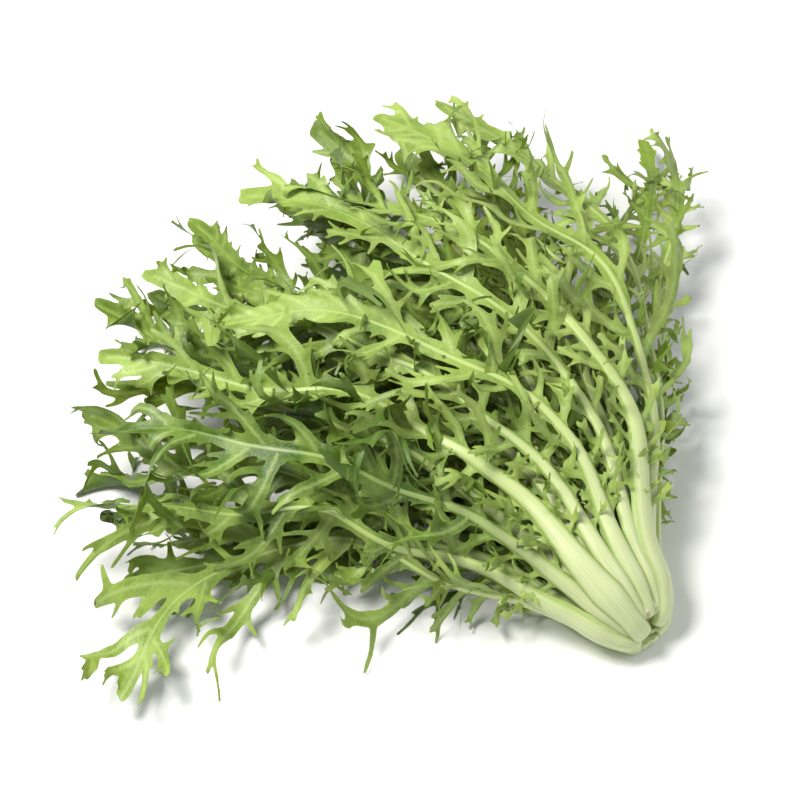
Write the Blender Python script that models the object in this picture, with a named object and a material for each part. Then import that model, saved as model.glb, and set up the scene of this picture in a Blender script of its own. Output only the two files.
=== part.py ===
"""Curly endive head, cut at the root and lying on its side.

A short stem carries the leaves in nested rings, as a rosette does. The rings are drawn in three
numbers: ring (0 on the middle line, 1 on the skin of the head), turn (share of the way round, 0 on
top) and reach (distance from the cut). One smooth map, Head.place, fans them out and flattens them
onto the table. Leaves that keep apart in those numbers keep apart in space.

Metres, +Z up, +Y from the cut to the leaf tips. The table is z = 0.
"""

import math

import bmesh
import bpy
import numpy as np

MM = 0.001

# The skin of the head: reach from the cut, half width, rise above and drop below the middle line.
ENVELOPE_MM = (
    (0, 20, 17, 16),
    (12, 28, 24, 21),
    (30, 35, 30, 25),
    (60, 52, 37, 27),
    (100, 80, 47, 28),
    (150, 115, 60, 28),
    (200, 151, 70, 27),
    (250, 191, 73, 25),
    (300, 234, 69, 22),
    (350, 276, 58, 18),
    (410, 326, 44, 14),
)
LEAN = 15 * MM  # how far the waist of the head sags towards +X

STEM_LENGTH = 42 * MM
STEM_SHARE = 0.88  # of the skin's radius, at the cut
STEM_TAPER = 1.25
STEM_SIDES = 28
STEM_RINGS = 9

# The rings inside the skin, heart first: leaves, radius, leaf length, twist towards the tips.
RINGS_MM = (
    ("heart", 4, 0.12, 120, 0.06),
    ("heart", 4, 0.23, 170, -0.05),
    ("inner", 4, 0.34, 220, 0.05),
    ("inner", 6, 0.47, 265, -0.04),
    ("middle", 8, 0.60, 314, 0.035),
    ("middle", 8, 0.725, 334, -0.03),
    ("outer", 10, 0.85, 346, 0.02),
)
GOLDEN = 0.618034
CREST = 0.035  # how far tips on the -X side crowd towards the top, as a share of the way round
EDGE_CUT = 0.10  # how much shorter the ring's leaves are at the -X edge, as a share

# Skin leaves: turn at the stem, turn at the tip, length, lobe reach, and how they lie:
# 0 in their place, 1 over their neighbours, 2 straying to the side.
SKIN_SLAB = 0.15
SKIN_LEAVES_MM = (
    (-0.465, -0.450, 300, 25, 0),
    (-0.385, -0.310, 306, 25, 0),
    (-0.286, -0.256, 322, 30, 2),
    (-0.225, -0.220, 338, 29, 0),
    (-0.150, -0.170, 326, 29, 0),
    (-0.082, -0.125, 348, 29, 0),
    (-0.015, -0.082, 358, 30, 0),
    (0.050, -0.072, 326, 31, 1),
    (0.112, -0.004, 358, 29, 0),
    (0.165, 0.006, 340, 29, 1),
    (0.230, 0.084, 370, 30, 0),
    (0.290, 0.128, 370, 26, 0),
    (0.350, 0.213, 324, 20, 0),
    (0.410, 0.262, 330, 20, 0),
    (0.470, 0.375, 300, 24, 0),
)
RAISED = 0.12  # how far a leaf that crosses over its neighbours stands off the skin
SPLAYED = 0.15  # how far the tip of a leaf that strays to the side stands off it
FILL = 0.75  # share of a ring's slab that its leaves may fill
LOBE_PITCH = 17 * MM
LOWERED = 0.5  # share of its slab by which every second leaf of a ring tucks under the others


def smooth_curve(xs, ys, x):
    """Values at x of the cubic through the points (xs, ys), with their own mean slopes."""
    xs, ys = np.asarray(xs, float), np.asarray(ys, float)
    x = np.clip(x, xs[0], xs[-1])
    slopes = np.gradient(ys, xs)
    i = np.clip(np.searchsorted(xs, x, side="right") - 1, 0, len(xs) - 2)
    step = xs[i + 1] - xs[i]
    t = (x - xs[i]) / step
    return (
        (2 * t**3 - 3 * t**2 + 1) * ys[i]
        + (t**3 - 2 * t**2 + t) * step * slopes[i]
        + (3 * t**2 - 2 * t**3) * ys[i + 1]
        + (t**3 - t**2) * step * slopes[i + 1]
    )


def ease(x, low, high):
    """0 below low, 1 above high, smooth between."""
    t = np.clip((np.asarray(x, float) - low) / (high - low), 0, 1)
    return t * t * (3 - 2 * t)


def grid_value(table, row, column):
    """Bilinear value of a table at fractional rows and columns."""
    row = np.clip(row, 0, table.shape[0] - 1.001)
    column = np.clip(column, 0, table.shape[1] - 1.001)
    r, c = row.astype(int), column.astype(int)
    fr, fc = row - r, column - c
    return (
        table[r, c] * (1 - fr) * (1 - fc)
        + table[r + 1, c] * fr * (1 - fc)
        + table[r, c + 1] * (1 - fr) * fc
        + table[r + 1, c + 1] * fr * fc
    )


class Head:
    """The map from (ring, turn, reach) to a point of the head."""

    STEP = 2 * MM
    LONGEST = 400 * MM
    TURNS = 180
    SIDES = 48
    WIDEST = 1.35

    def __init__(self):
        marks, widths, rises, drops = (np.array(c) * MM for c in zip(*ENVELOPE_MM))
        self.marks, self.widths, self.rises, self.drops = marks, widths, rises, drops
        reach = np.arange(0, self.LONGEST + self.STEP, self.STEP)
        width, rise, drop = self.size(reach)

        angle = np.linspace(0, 2 * math.pi, 721)
        across, up = self.outline(angle)
        x = width[:, None] * across
        z = np.where(up > 0, rise[:, None], drop[:, None]) * up
        lengths = np.hypot(np.diff(x, axis=1), np.diff(z, axis=1))
        walked = np.concatenate([np.zeros((len(reach), 1)), np.cumsum(lengths, axis=1)], axis=1)
        self.perimeters = walked[:, -1]
        shares = np.linspace(0, 1, self.TURNS + 1)
        self.lead = np.array(
            [np.interp(shares * w[-1], w, angle) - 2 * math.pi * shares for w in walked]
        )

        # How far forward a leaf gets in a given reach when it heads out sideways.
        flare = np.gradient(width, reach)
        side = np.linspace(0, self.WIDEST, self.SIDES)
        pace = np.sqrt(np.clip(1 - (flare[:, None] * side) ** 2, 0.04, 1))
        middle = (pace[1:] + pace[:-1]) / 2 * self.STEP
        self.forward = np.concatenate([np.zeros((1, self.SIDES)), np.cumsum(middle, axis=0)])

    @staticmethod
    def outline(angle):
        """Unit outline of a ring, clockwise from the top: round above, flat below."""
        up = np.cos(angle)
        return np.sin(angle), np.where(up > 0, up, (1 + np.minimum(up, 0)) ** 2 - 1)

    def size(self, reach):
        return (
            smooth_curve(self.marks, self.widths, reach),
            smooth_curve(self.marks, self.rises, reach),
            smooth_curve(self.marks, self.drops, reach),
        )

    def angle(self, turn, reach):
        turn = np.mod(turn, 1)
        lead = grid_value(self.lead, reach / self.STEP, turn * self.TURNS)
        return 2 * math.pi * turn + lead

    def perimeter(self, reach):
        return np.interp(reach, np.arange(len(self.perimeters)) * self.STEP, self.perimeters)

    def spacing(self, turn, reach):
        """Distance between the middle line and the skin, square to the skin."""
        width, rise, drop = self.size(reach)
        across, up = self.outline(self.angle(turn, reach))
        height = np.where(up > 0, rise, drop)
        step = 1e-3
        ahead, ahead_up = self.outline(self.angle(turn, reach) + step)
        run = (ahead - across) * width
        climb = (ahead_up - up) * height
        return np.abs(across * width * climb - up * height * run) / np.hypot(run, climb)

    def place(self, ring, turn, reach):
        """Points as an array of rows (x, y, z)."""
        ring, turn, reach = np.broadcast_arrays(
            *(np.asarray(v, float) for v in (ring, turn, reach))
        )
        width, rise, drop = self.size(reach)
        across, up = self.outline(self.angle(turn, reach))
        across, up = across * ring, up * ring
        y = grid_value(
            self.forward,
            reach / self.STEP,
            np.abs(across) / self.WIDEST * (self.SIDES - 1),
        )
        z = drop + up * np.where(up > 0, rise, drop)
        return self.ripple(across * width, y, z)

    @staticmethod
    def ripple(x, y, z):
        """Slow waves that sway the leaves: each one shears along its own axis, so none cross."""
        x = x + LEAN * (ease(y, 20 * MM, 100 * MM) - ease(y, 150 * MM, 320 * MM))
        far = ease(y, 60 * MM, 240 * MM)
        x = x + far * 5 * MM * np.sin(z / (13 * MM) + y / (55 * MM))
        wave = np.sin(x / (31 * MM) + 1.3) * np.sin(y / (37 * MM) + 0.4)
        wave = wave + 0.6 * np.sin(x / (19 * MM) - y / (29 * MM))
        z = z + far * 4.5 * MM * wave * ease(z, 3 * MM, 34 * MM)
        return np.stack([x, y, z], axis=-1)


def stem_ring(reach):
    """The stem's share of the head's radius at a reach."""
    return STEM_SHARE * np.clip(1 - reach / STEM_LENGTH, 0, 1) ** (1 / STEM_TAPER)


def nearest(turns, i, steps):
    """Smallest share of the way round from leaf i to the leaves that many places on."""
    ways = (turns[(i + steps) % len(turns)] - turns[i], turns[i] - turns[i - steps])
    return min(way % 1 for way in ways)


def leaf_plan():
    """Every leaf, heart first: its name, place in the head, length and the room beside it."""
    leaves = []
    serial = {}

    def add_ring(kind, ring, slab, rows):
        stem_turns = [row[0] for row in rows]
        tip_turns = [row[1] for row in rows]
        for j, (turn, tip_turn, length, lobe, stance) in enumerate(rows):
            serial[kind] = serial.get(kind, 0) + 1
            leaves.append(
                dict(
                    name=f"{kind}_leaf_{serial[kind]:02d}",
                    number=len(leaves),
                    ring=ring,
                    slab=slab,
                    turn=turn,
                    tip_turn=tip_turn,
                    length=length * MM,
                    lobe=lobe * MM,
                    stalk_room=0.42 * nearest(stem_turns, j, 1),
                    blade_room=0.44 * nearest(tip_turns, j, 2),
                    step_out=(-LOWERED * slab * (j % 2), RAISED, 0.0)[stance],
                    splay=SPLAYED * (stance == 2),
                )
            )

    inside = 0.0
    for k, (kind, count, ring, length, twist) in enumerate(RINGS_MM):
        rows = []
        for j in range(count):
            vary = math.sin(12.9898 * (j + 1) + 4.1 * k)
            turn = (j + GOLDEN * (k + 1) + 0.12 * vary) / count
            tip_turn = turn + twist + 0.10 * math.sin(7.3 * (j + 1) + 2.9 * k) / count
            tip_turn -= min(CREST * math.sin(2 * math.pi * turn), 0)
            cut = EDGE_CUT * max(-math.sin(2 * math.pi * tip_turn), 0) ** 3
            rows.append((turn, tip_turn, length * (1 + 0.07 * vary - cut), 9 + 17 * ring, 0))
        add_ring(kind, ring, ring - inside, rows)
        inside = ring
    add_ring("skin", 1.0, SKIN_SLAB, SKIN_LEAVES_MM)
    return leaves


def leaf_path(head, leaf, along):
    """Ring, turn and reach of a leaf's outer face at distances along it."""
    inner_face = max(leaf["ring"] - FILL * leaf["slab"] - 0.05, 0)
    start = STEM_LENGTH * (1 - (inner_face / STEM_SHARE) ** STEM_TAPER)
    reach = start + along
    share = along / leaf["length"]
    turn = leaf["turn"] + (leaf["tip_turn"] - leaf["turn"]) * np.clip(share, 0, 2) ** 1.15
    ring = leaf["ring"] + leaf["step_out"] * ease(reach, 40 * MM, 95 * MM)
    ring = ring + leaf["splay"] * ease(share, 0.5, 1.0)
    return ring, turn, reach


def leaf_section(head, leaf, along, side_reach, sweep):
    """One cross-section of a leaf: eight corners, from the left edge over the rib and back."""
    share = along / leaf["length"]
    ring, turn, reach = leaf_path(head, leaf, np.array([along]))
    girth = leaf["ring"] * head.perimeter(reach)[0]
    rib = (2.0 + 4.4 * leaf["ring"] * (1 - share) ** 2.2) * MM * (1 - 0.75 * ease(share, 0.7, 1))
    rib = min(rib, 0.8 * leaf["stalk_room"] * girth)
    shrink = 1 - 0.45 * ease(reach, 40 * MM, 90 * MM)[0]
    layer = leaf["slab"] * head.spacing(turn, reach)[0] * shrink
    depth = (1.5 + 2.6 * leaf["ring"]) * MM * (1 - 0.72 * ease(share, 0.08, 0.6))
    depth = min(depth, FILL * layer)
    left, right = (max(min(out, leaf["blade_room"] * girth), 1.25 * rib) for out in side_reach)
    u = np.array([-left, -rib, 0, rib, right, rib, 0, -rib])
    inward = np.array([0.5, 0.12, 0, 0.12, 0.5, 1, 1, 1]) * depth
    ahead = np.array([sweep[0], 0, 0, 0, sweep[1], 0, 0, 0])
    ring, turn, reach = leaf_path(head, leaf, along + ahead)
    turn = turn + u / (leaf["ring"] * head.perimeter(reach))
    return head.place(ring - inward / head.spacing(turn, reach), turn, reach)


def leaf_sections(head, leaf):
    """All cross-sections of a leaf: a plain stalk, then lobes that alternate left and right."""
    length = leaf["length"]
    stalk = (0, 5 * MM, 12 * MM, 22 * MM, 38 * MM)
    first, last = 0.30 * length + 12 * MM, 0.94 * length
    blade = np.linspace(first, last, 1 + round((last - first) / LOBE_PITCH))
    sections = [leaf_section(head, leaf, along, (0, 0), (0, 0)) for along in stalk]
    for i, along in enumerate(blade):
        lobe = leaf["lobe"] * (0.45 + 0.55 * math.sin(math.pi * (along / length - 0.2) / 0.72))
        notch = 0.24 * lobe
        sweep = 0.30 * lobe
        odd = i % 2 == 1
        widths = (lobe, notch) if odd else (notch, lobe)
        sweeps = (sweep, 0) if odd else (0, sweep)
        sections.append(leaf_section(head, leaf, along, widths, sweeps))
    sections.append(leaf_section(head, leaf, length, (0, 0), (0, 0)))
    return sections


def stem_sections(head):
    """Rings of the stem, from the cut to its tip."""
    turns = np.arange(STEM_SIDES) / STEM_SIDES
    reaches = np.linspace(0, 0.97, STEM_RINGS) * STEM_LENGTH
    return [head.place(stem_ring(reach), turns, reach) for reach in reaches]


def loft(name, sections, material, collection):
    """A closed solid through sections of equal corner count, capped at both ends."""
    mesh = bmesh.new()
    rings = [[mesh.verts.new(point) for point in section] for section in sections]
    for back, front in zip(rings, rings[1:]):
        for i in range(len(back)):
            j = (i + 1) % len(back)
            mesh.faces.new((back[i], back[j], front[j], front[i]))
    mesh.faces.new(rings[0][::-1])
    mesh.faces.new(rings[-1])
    bmesh.ops.triangulate(mesh, faces=mesh.faces[:])
    if mesh.calc_volume(signed=True) < 0:
        bmesh.ops.reverse_faces(mesh, faces=mesh.faces[:])
    data = bpy.data.meshes.new(name)
    mesh.to_mesh(data)
    mesh.free()
    data.shade_smooth()
    data.set_sharp_from_angle(angle=math.radians(50))
    data.materials.append(material)
    obj = bpy.data.objects.new(name, data)
    collection.objects.link(obj)
    return obj


def principled(name, colour, roughness):
    material = bpy.data.materials.new(name)
    material.use_nodes = True
    shader = material.node_tree.nodes["Principled BSDF"]
    shader.inputs["Base Color"].default_value = (*colour, 1)
    shader.inputs["Roughness"].default_value = roughness
    shader.inputs["Metallic"].default_value = 0
    material.diffuse_color = (*colour, 1)
    return material


def centre_on_table(objects):
    """Moves the head so that the middle of its box is over the origin, with its foot on z = 0."""
    corners = np.array([v.co for obj in objects for v in obj.data.vertices])
    low, high = corners.min(axis=0), corners.max(axis=0)
    root = bpy.data.objects.new("head_origin", None)
    bpy.context.scene.collection.objects.link(root)
    for obj in objects:
        obj.parent = root
    root.location = (-(low[0] + high[0]) / 2, -(low[1] + high[1]) / 2, -low[2])


def main():
    for obj in list(bpy.data.objects):
        bpy.data.objects.remove(obj)
    collection = bpy.data.collections.new("curly_endive_head")
    bpy.context.scene.collection.children.link(collection)

    stem_flesh = principled("stem_flesh", (0.78, 0.80, 0.62), 0.5)
    greens = {
        "heart": principled("heart_green", (0.62, 0.68, 0.20), 0.45),
        "inner": principled("inner_green", (0.46, 0.60, 0.16), 0.45),
        "middle": principled("middle_green", (0.33, 0.50, 0.12), 0.45),
        "outer": principled("outer_green", (0.25, 0.42, 0.09), 0.45),
        "skin": principled("skin_green", (0.30, 0.46, 0.13), 0.45),
    }

    head = Head()
    made = [loft("stem", stem_sections(head), stem_flesh, collection)]
    for leaf in leaf_plan():
        kind = leaf["name"].split("_")[0]
        made.append(loft(leaf["name"], leaf_sections(head, leaf), greens[kind], collection))
    centre_on_table(made)


main()
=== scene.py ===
"""Looks of the curly endive head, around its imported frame.

Each leaf follows its CAD node's path through the head. Its blade is drawn flat, in mm: u across
and s along, as a field of strokes (rib, wings, lobes, teeth). The outline is traced, meshed, and
laid along the path with curls and twists, as a thin closed solid with a raised rib.
"""

import math

import bpy
import numpy as np
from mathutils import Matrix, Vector
from mathutils.geometry import delaunay_2d_cdt


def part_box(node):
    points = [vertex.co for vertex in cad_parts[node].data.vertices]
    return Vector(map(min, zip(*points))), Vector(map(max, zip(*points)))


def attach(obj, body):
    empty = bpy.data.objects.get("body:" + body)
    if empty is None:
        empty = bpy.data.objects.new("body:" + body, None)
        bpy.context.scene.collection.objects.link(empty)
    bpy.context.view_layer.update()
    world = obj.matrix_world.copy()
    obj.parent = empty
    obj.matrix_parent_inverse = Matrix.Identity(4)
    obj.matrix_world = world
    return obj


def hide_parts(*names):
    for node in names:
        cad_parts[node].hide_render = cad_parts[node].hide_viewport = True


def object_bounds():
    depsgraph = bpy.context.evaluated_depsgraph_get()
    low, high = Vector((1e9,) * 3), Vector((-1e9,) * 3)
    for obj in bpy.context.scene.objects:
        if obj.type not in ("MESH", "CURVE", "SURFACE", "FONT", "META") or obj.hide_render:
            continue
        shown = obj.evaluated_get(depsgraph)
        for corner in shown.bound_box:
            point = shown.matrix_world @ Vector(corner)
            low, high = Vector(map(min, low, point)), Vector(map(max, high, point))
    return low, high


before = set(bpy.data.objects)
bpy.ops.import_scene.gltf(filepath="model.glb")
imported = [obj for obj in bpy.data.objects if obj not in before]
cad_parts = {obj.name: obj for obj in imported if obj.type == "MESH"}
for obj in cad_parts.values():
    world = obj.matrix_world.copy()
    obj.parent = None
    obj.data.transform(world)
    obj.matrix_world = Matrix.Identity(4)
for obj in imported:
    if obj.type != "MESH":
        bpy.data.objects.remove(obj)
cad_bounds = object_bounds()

MM = 0.001

# The skin of the head: reach from the cut, half width, rise above and drop below the middle line.
ENVELOPE_MM = (
    (0, 20, 17, 16),
    (12, 28, 24, 21),
    (30, 35, 30, 25),
    (60, 52, 37, 27),
    (100, 80, 47, 28),
    (150, 115, 60, 28),
    (200, 151, 70, 27),
    (250, 191, 73, 25),
    (300, 234, 69, 22),
    (350, 276, 58, 18),
    (410, 326, 44, 14),
)
LEAN = 15 * MM  # how far the waist of the head sags towards +X

STEM_LENGTH = 42 * MM
STEM_SHARE = 0.88  # of the skin's radius, at the cut
STEM_TAPER = 1.25
STEM_SIDES = 28
STEM_RINGS = 9

# The rings inside the skin, heart first: leaves, radius, leaf length, twist towards the tips.
RINGS_MM = (
    ("heart", 4, 0.12, 120, 0.06),
    ("heart", 4, 0.23, 170, -0.05),
    ("inner", 4, 0.34, 220, 0.05),
    ("inner", 6, 0.47, 265, -0.04),
    ("middle", 8, 0.60, 314, 0.035),
    ("middle", 8, 0.725, 334, -0.03),
    ("outer", 10, 0.85, 346, 0.02),
)
GOLDEN = 0.618034
CREST = 0.035  # how far tips on the -X side crowd towards the top, as a share of the way round
EDGE_CUT = 0.10  # how much shorter the ring's leaves are at the -X edge, as a share

# Skin leaves: turn at the stem, turn at the tip, length, lobe reach, and how they lie:
# 0 in their place, 1 over their neighbours, 2 straying to the side.
SKIN_SLAB = 0.15
SKIN_LEAVES_MM = (
    (-0.465, -0.450, 300, 25, 0),
    (-0.385, -0.310, 306, 25, 0),
    (-0.286, -0.256, 322, 30, 2),
    (-0.225, -0.220, 338, 29, 0),
    (-0.150, -0.170, 326, 29, 0),
    (-0.082, -0.125, 348, 29, 0),
    (-0.015, -0.082, 358, 30, 0),
    (0.050, -0.072, 326, 31, 1),
    (0.112, -0.004, 358, 29, 0),
    (0.165, 0.006, 340, 29, 1),
    (0.230, 0.084, 370, 30, 0),
    (0.290, 0.128, 370, 26, 0),
    (0.350, 0.213, 324, 20, 0),
    (0.410, 0.262, 330, 20, 0),
    (0.470, 0.375, 300, 24, 0),
)
RAISED = 0.12  # how far a leaf that crosses over its neighbours stands off the skin
SPLAYED = 0.15  # how far the tip of a leaf that strays to the side stands off it
FILL = 0.75  # share of a ring's slab that its leaves may fill
LOWERED = 0.5  # share of its slab by which every second leaf of a ring tucks under the others


def smooth_curve(xs, ys, x):
    """Values at x of the cubic through the points (xs, ys), with their own mean slopes."""
    xs, ys = np.asarray(xs, float), np.asarray(ys, float)
    x = np.clip(x, xs[0], xs[-1])
    slopes = np.gradient(ys, xs)
    i = np.clip(np.searchsorted(xs, x, side="right") - 1, 0, len(xs) - 2)
    step = xs[i + 1] - xs[i]
    t = (x - xs[i]) / step
    return (
        (2 * t**3 - 3 * t**2 + 1) * ys[i]
        + (t**3 - 2 * t**2 + t) * step * slopes[i]
        + (3 * t**2 - 2 * t**3) * ys[i + 1]
        + (t**3 - t**2) * step * slopes[i + 1]
    )


def ease(x, low, high):
    """0 below low, 1 above high, smooth between."""
    t = np.clip((np.asarray(x, float) - low) / (high - low), 0, 1)
    return t * t * (3 - 2 * t)


def grid_value(table, row, column):
    """Bilinear value of a table at fractional rows and columns."""
    row = np.clip(row, 0, table.shape[0] - 1.001)
    column = np.clip(column, 0, table.shape[1] - 1.001)
    r, c = row.astype(int), column.astype(int)
    fr, fc = row - r, column - c
    return (
        table[r, c] * (1 - fr) * (1 - fc)
        + table[r + 1, c] * fr * (1 - fc)
        + table[r, c + 1] * (1 - fr) * fc
        + table[r + 1, c + 1] * fr * fc
    )


class Head:
    """The map from (ring, turn, reach) to a point of the head."""

    STEP = 2 * MM
    LONGEST = 400 * MM
    TURNS = 180
    SIDES = 48
    WIDEST = 1.35

    def __init__(self):
        marks, widths, rises, drops = (np.array(c) * MM for c in zip(*ENVELOPE_MM))
        self.marks, self.widths, self.rises, self.drops = marks, widths, rises, drops
        reach = np.arange(0, self.LONGEST + self.STEP, self.STEP)
        width, rise, drop = self.size(reach)

        angle = np.linspace(0, 2 * math.pi, 721)
        across, up = self.outline(angle)
        x = width[:, None] * across
        z = np.where(up > 0, rise[:, None], drop[:, None]) * up
        lengths = np.hypot(np.diff(x, axis=1), np.diff(z, axis=1))
        walked = np.concatenate([np.zeros((len(reach), 1)), np.cumsum(lengths, axis=1)], axis=1)
        self.perimeters = walked[:, -1]
        shares = np.linspace(0, 1, self.TURNS + 1)
        self.lead = np.array(
            [np.interp(shares * w[-1], w, angle) - 2 * math.pi * shares for w in walked]
        )

        # How far forward a leaf gets in a given reach when it heads out sideways.
        flare = np.gradient(width, reach)
        side = np.linspace(0, self.WIDEST, self.SIDES)
        pace = np.sqrt(np.clip(1 - (flare[:, None] * side) ** 2, 0.04, 1))
        middle = (pace[1:] + pace[:-1]) / 2 * self.STEP
        self.forward = np.concatenate([np.zeros((1, self.SIDES)), np.cumsum(middle, axis=0)])

    @staticmethod
    def outline(angle):
        """Unit outline of a ring, clockwise from the top: round above, flat below."""
        up = np.cos(angle)
        return np.sin(angle), np.where(up > 0, up, (1 + np.minimum(up, 0)) ** 2 - 1)

    def size(self, reach):
        return (
            smooth_curve(self.marks, self.widths, reach),
            smooth_curve(self.marks, self.rises, reach),
            smooth_curve(self.marks, self.drops, reach),
        )

    def angle(self, turn, reach):
        turn = np.mod(turn, 1)
        lead = grid_value(self.lead, reach / self.STEP, turn * self.TURNS)
        return 2 * math.pi * turn + lead

    def perimeter(self, reach):
        return np.interp(reach, np.arange(len(self.perimeters)) * self.STEP, self.perimeters)

    def place(self, ring, turn, reach):
        """Points as an array of rows (x, y, z)."""
        ring, turn, reach = np.broadcast_arrays(
            *(np.asarray(v, float) for v in (ring, turn, reach))
        )
        width, rise, drop = self.size(reach)
        across, up = self.outline(self.angle(turn, reach))
        across, up = across * ring, up * ring
        y = grid_value(
            self.forward,
            reach / self.STEP,
            np.abs(across) / self.WIDEST * (self.SIDES - 1),
        )
        z = drop + up * np.where(up > 0, rise, drop)
        return self.ripple(across * width, y, z)

    @staticmethod
    def ripple(x, y, z):
        """Slow waves that sway the leaves: each one shears along its own axis, so none cross."""
        x = x + LEAN * (ease(y, 20 * MM, 100 * MM) - ease(y, 150 * MM, 320 * MM))
        far = ease(y, 60 * MM, 240 * MM)
        x = x + far * 5 * MM * np.sin(z / (13 * MM) + y / (55 * MM))
        wave = np.sin(x / (31 * MM) + 1.3) * np.sin(y / (37 * MM) + 0.4)
        wave = wave + 0.6 * np.sin(x / (19 * MM) - y / (29 * MM))
        z = z + far * 4.5 * MM * wave * ease(z, 3 * MM, 34 * MM)
        return np.stack([x, y, z], axis=-1)


def stem_ring(reach):
    """The stem's share of the head's radius at a reach."""
    return STEM_SHARE * np.clip(1 - reach / STEM_LENGTH, 0, 1) ** (1 / STEM_TAPER)


def nearest(turns, i, steps):
    """Smallest share of the way round from leaf i to the leaves that many places on."""
    ways = (turns[(i + steps) % len(turns)] - turns[i], turns[i] - turns[i - steps])
    return min(way % 1 for way in ways)


def leaf_plan():
    """Every leaf, heart first: its name, place in the head, length and the room beside it."""
    leaves = []
    serial = {}

    def add_ring(kind, ring, slab, rows):
        stem_turns = [row[0] for row in rows]
        tip_turns = [row[1] for row in rows]
        for j, (turn, tip_turn, length, lobe, stance) in enumerate(rows):
            serial[kind] = serial.get(kind, 0) + 1
            leaves.append(
                dict(
                    name=f"{kind}_leaf_{serial[kind]:02d}",
                    number=len(leaves),
                    ring=ring,
                    slab=slab,
                    turn=turn,
                    tip_turn=tip_turn,
                    length=length * MM,
                    lobe=lobe * MM,
                    stalk_room=0.42 * nearest(stem_turns, j, 1),
                    blade_room=0.44 * nearest(tip_turns, j, 2),
                    step_out=(-LOWERED * slab * (j % 2), RAISED, 0.0)[stance],
                    splay=SPLAYED * (stance == 2),
                )
            )

    inside = 0.0
    for k, (kind, count, ring, length, twist) in enumerate(RINGS_MM):
        rows = []
        for j in range(count):
            vary = math.sin(12.9898 * (j + 1) + 4.1 * k)
            turn = (j + GOLDEN * (k + 1) + 0.12 * vary) / count
            tip_turn = turn + twist + 0.10 * math.sin(7.3 * (j + 1) + 2.9 * k) / count
            tip_turn -= min(CREST * math.sin(2 * math.pi * turn), 0)
            cut = EDGE_CUT * max(-math.sin(2 * math.pi * tip_turn), 0) ** 3
            rows.append((turn, tip_turn, length * (1 + 0.07 * vary - cut), 9 + 17 * ring, 0))
        add_ring(kind, ring, ring - inside, rows)
        inside = ring
    add_ring("skin", 1.0, SKIN_SLAB, SKIN_LEAVES_MM)
    return leaves


def leaf_path(leaf, along):
    """Ring, turn and reach of a leaf's outer face at distances along it."""
    inner_face = max(leaf["ring"] - FILL * leaf["slab"] - 0.05, 0)
    start = STEM_LENGTH * (1 - (inner_face / STEM_SHARE) ** STEM_TAPER)
    reach = start + along
    share = along / leaf["length"]
    turn = leaf["turn"] + (leaf["tip_turn"] - leaf["turn"]) * np.clip(share, 0, 2) ** 1.15
    ring = leaf["ring"] + leaf["step_out"] * ease(reach, 40 * MM, 95 * MM)
    ring = ring + leaf["splay"] * ease(share, 0.5, 1.0)
    return ring, turn, reach
# ---------------------------------------------------------------- flat leaf drawing, in mm

CELL = 0.7  # of the drawing's grid
BLEND = 1.3  # how softly strokes run together
FADE = 5.0 * BLEND  # a stroke's field is dropped beyond this


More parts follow.
